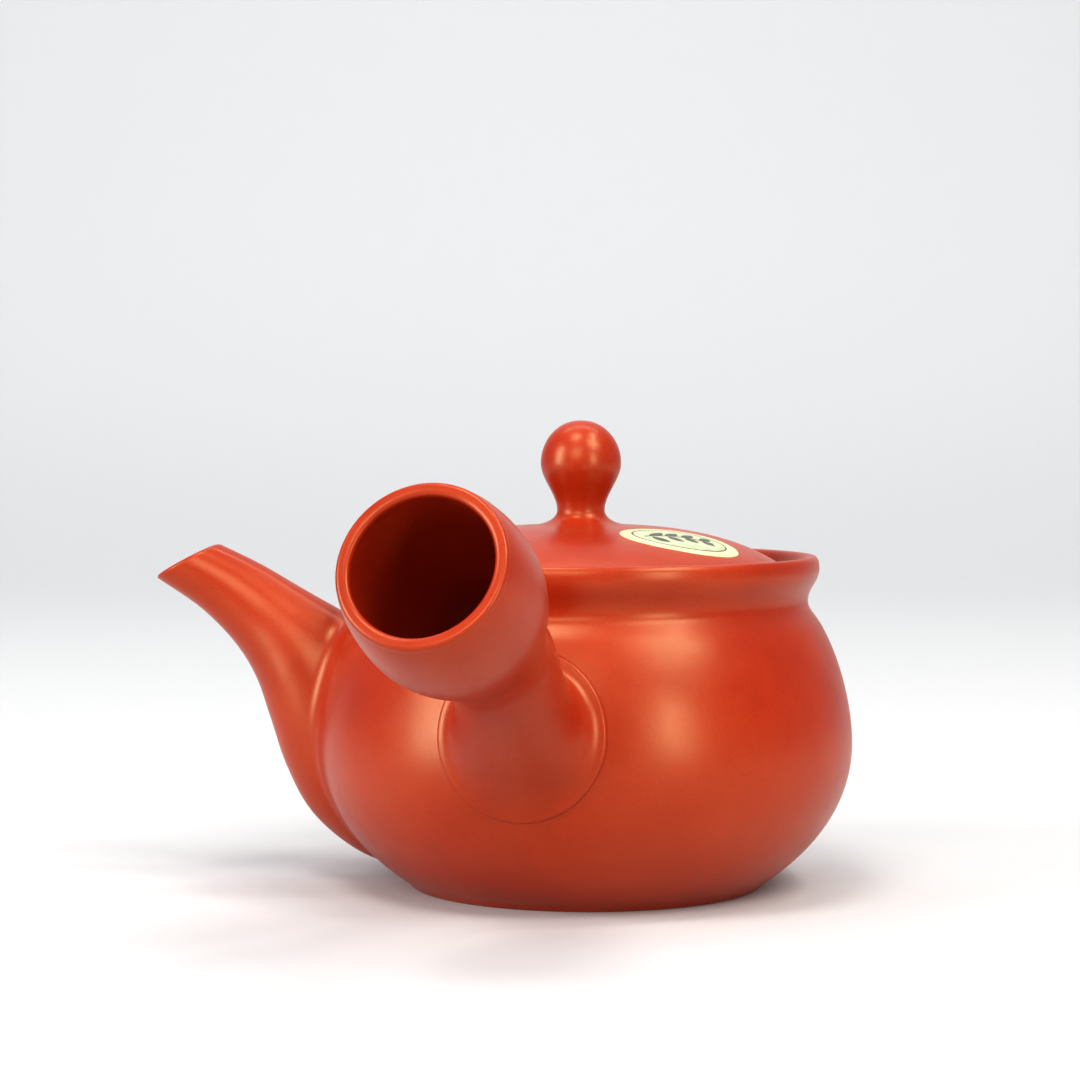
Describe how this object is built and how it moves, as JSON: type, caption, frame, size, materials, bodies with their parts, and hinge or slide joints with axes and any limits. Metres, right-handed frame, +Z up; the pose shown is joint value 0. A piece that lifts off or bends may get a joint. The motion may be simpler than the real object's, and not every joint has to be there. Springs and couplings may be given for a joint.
{
  "type": "teapot",
  "caption": "Side-handled teapot in red burnished clay: round body, short spout with a strainer behind it, hollow handle and a drop-in lid with a ball knob.",
  "frame": {"origin": "centre of the foot's flat face, on the table", "axes": "+Z up along the pot's axis, the spout points along -X, the handle points along -Y, 81.5 degrees round from the spout"},
  "size_m": [0.139, 0.1658, 0.0907],
  "materials": {
    "red_clay": "satin",
    "raw_clay": "matte",
    "foil": "satin"
  },
  "bodies": {
    "pot": {"body": "red_clay", "spout": "red_clay", "strainer": "raw_clay", "handle": "red_clay"},
    "lid": {"lid": "red_clay", "knob": "red_clay", "label": "foil"}
  },
  "joints": [
    {"name": "lid_lift", "type": "slide", "parent": "pot", "child": "lid", "axis": [0, 0, 1], "range_m": [0, 0.04]}
  ]
}
